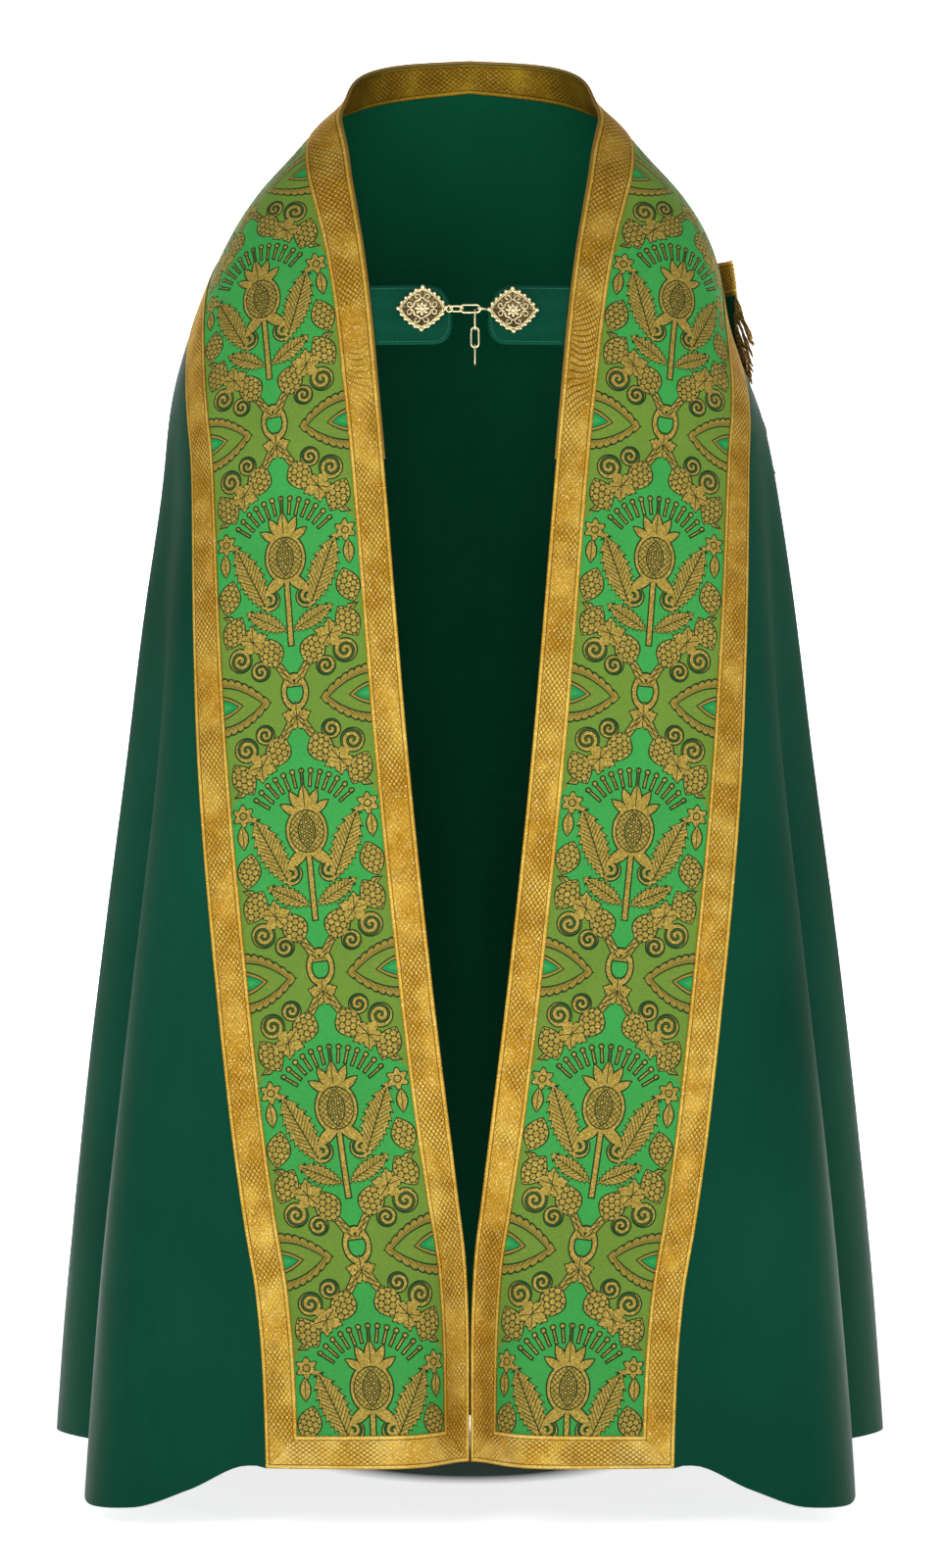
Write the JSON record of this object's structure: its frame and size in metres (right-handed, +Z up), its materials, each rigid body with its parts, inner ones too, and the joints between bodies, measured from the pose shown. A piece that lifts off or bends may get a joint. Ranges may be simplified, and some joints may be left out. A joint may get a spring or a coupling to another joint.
{
  "type": "cope vestment",
  "caption": "Half-circle cloak worn open in front, with brocade bands edged in galloon, a fringed back shield and a chained clasp on two tabs; worn form with no wearer",
  "frame": {"origin": "on the axis of the neck opening, level with the top of the back neck, where the wearer's neck and shoulders hold the cope", "axes": "+Z up, -Y the front of the garment, +X to the right of a viewer who faces the front"},
  "size_m": [0.8458, 0.5555, 1.4457],
  "materials": {
    "green_satin": "satin",
    "green_gold_brocade": "woven brocade",
    "gold_galloon": "metallic braid",
    "bullion_fringe": "metallic thread",
    "gilt_metal": "pale gilt"
  },
  "bodies": {
    "cope": {"cope_body": "green_satin", "orphrey_left": "green_gold_brocade", "orphrey_right": "green_gold_brocade", "galloon_inner_left": "gold_galloon", "galloon_inner_right": "gold_galloon", "galloon_outer_left": "gold_galloon", "galloon_outer_right": "gold_galloon", "galloon_foot_left": "gold_galloon", "galloon_foot_right": "gold_galloon", "galloon_neck_inside": "gold_galloon", "hood": "green_satin", "hood_galloon": "gold_galloon", "hood_fringe": "bullion_fringe", "morse_tab_left": "green_satin", "morse_tab_right": "green_satin", "clasp_plate_left": "gilt_metal", "clasp_plate_right": "gilt_metal", "chain_link_1": "gilt_metal", "chain_link_2": "gilt_metal"},
    "hanging_link_upper": {"chain_link_3": "gilt_metal"},
    "hanging_link_middle": {"chain_link_4": "gilt_metal"},
    "hanging_link_lower": {"chain_link_5": "gilt_metal"}
  },
  "joints": [
    {"name": "upper_link_swing", "type": "hinge", "parent": "cope", "child": "hanging_link_upper", "pos_m": [0.0048, -0.13578, -0.28989], "axis": [1, 0, 0], "range_deg": [-55, 55]},
    {"name": "middle_link_swing", "type": "hinge", "parent": "hanging_link_upper", "child": "hanging_link_middle", "pos_m": [0.0048, -0.13578, -0.30678], "axis": [0, 1, 0], "range_deg": [-55, 55]},
    {"name": "lower_link_swing", "type": "hinge", "parent": "hanging_link_middle", "child": "hanging_link_lower", "pos_m": [0.0048, -0.13578, -0.32378], "axis": [1, 0, 0], "range_deg": [-55, 55]}
  ]
}
